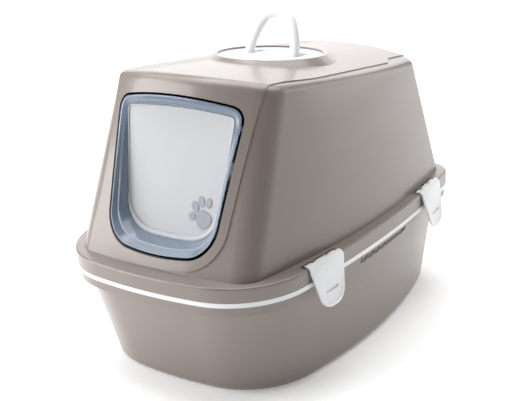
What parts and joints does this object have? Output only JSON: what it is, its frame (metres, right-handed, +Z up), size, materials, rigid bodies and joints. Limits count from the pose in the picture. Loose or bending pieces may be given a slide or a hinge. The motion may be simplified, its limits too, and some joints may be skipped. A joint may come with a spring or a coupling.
{
  "type": "cat litter box with hood",
  "caption": "Hooded cat litter box: deep tray, litter guard, hood with clear swing flap, carrying handle over a carbon filter, and side clips.",
  "frame": {"origin": "centre of the tray's underside, on the floor", "axes": "+X to the right seen from the front, -Y out of the doorway, +Z up"},
  "size_m": [0.419, 0.5999, 0.4789],
  "materials": {
    "taupe": "gloss",
    "white": "satin gloss",
    "flap_tint": "clear, blue tinted",
    "flap_window": "frosted, clear",
    "paw_print": "printed",
    "carbon": "felt",
    "steel": "satin"
  },
  "bodies": {
    "tray": {"tray": "taupe"},
    "litter_guard": {"litter_guard": "white"},
    "hood": {"hood": "taupe", "handle_dish": "white", "handle_pin_left": "white", "handle_pin_right": "white", "filter_pad": "carbon", "filter_grid": "white", "flap_pin_left": "white", "flap_pin_right": "white", "clip_pin_front_right": "steel", "clip_pin_rear_right": "steel", "clip_pin_front_left": "steel", "clip_pin_rear_left": "steel"},
    "carry_handle": {"carry_handle": "white"},
    "flap": {"flap_frame": "flap_tint", "flap_window": "flap_window", "paw_inlay": "paw_print"},
    "grid_catch_left": {"grid_catch_left": "white"},
    "grid_catch_right": {"grid_catch_right": "white"},
    "clip_front_right": {"clip_front_right": "white"},
    "clip_rear_right": {"clip_rear_right": "white"},
    "clip_front_left": {"clip_front_left": "white"},
    "clip_rear_left": {"clip_rear_left": "white"}
  },
  "joints": [
    {"name": "guard_lift", "type": "slide", "parent": "tray", "child": "litter_guard", "axis": [0, 0, 1], "range_m": [0, 0.12]},
    {"name": "hood_lift", "type": "slide", "parent": "litter_guard", "child": "hood", "axis": [0, 0, 1], "range_m": [0, 0.2]},
    {"name": "flap_swing", "type": "hinge", "parent": "hood", "child": "flap", "pos_m": [0, -0.18657, 0.367], "axis": [1, 0, 0], "range_deg": [-70, 70]},
    {"name": "handle_fold", "type": "hinge", "parent": "hood", "child": "carry_handle", "pos_m": [0, 0.03363, 0.40502], "axis": [1, 0, 0], "range_deg": [-52, 18]},
    {"name": "grid_catch_right_turn", "type": "hinge", "parent": "hood", "child": "grid_catch_right", "pos_m": [0.08, 0.03156, 0.38271], "axis": [0, 0.0924, 0.9957], "range_deg": [0, 90]},
    {"name": "grid_catch_left_turn", "type": "hinge", "parent": "hood", "child": "grid_catch_left", "pos_m": [-0.08, 0.03156, 0.38271], "axis": [0, 0.0924, 0.9957], "range_deg": [-90, 0]},
    {"name": "clip_front_right_swing", "type": "hinge", "parent": "hood", "child": "clip_front_right", "pos_m": [0.18481, -0.14224, 0.1802], "axis": [-0.0799, -0.9968, 0], "range_deg": [0, 90]},
    {"name": "clip_rear_right_swing", "type": "hinge", "parent": "hood", "child": "clip_rear_right", "pos_m": [0.18137, 0.18004, 0.1802], "axis": [0.1011, -0.9949, 0], "range_deg": [0, 90]},
    {"name": "clip_front_left_swing", "type": "hinge", "parent": "hood", "child": "clip_front_left", "pos_m": [-0.18481, -0.14224, 0.1802], "axis": [-0.0799, 0.9968, 0], "range_deg": [0, 90]},
    {"name": "clip_rear_left_swing", "type": "hinge", "parent": "hood", "child": "clip_rear_left", "pos_m": [-0.18137, 0.18004, 0.1802], "axis": [0.1011, 0.9949, 0], "range_deg": [0, 90]}
  ]
}
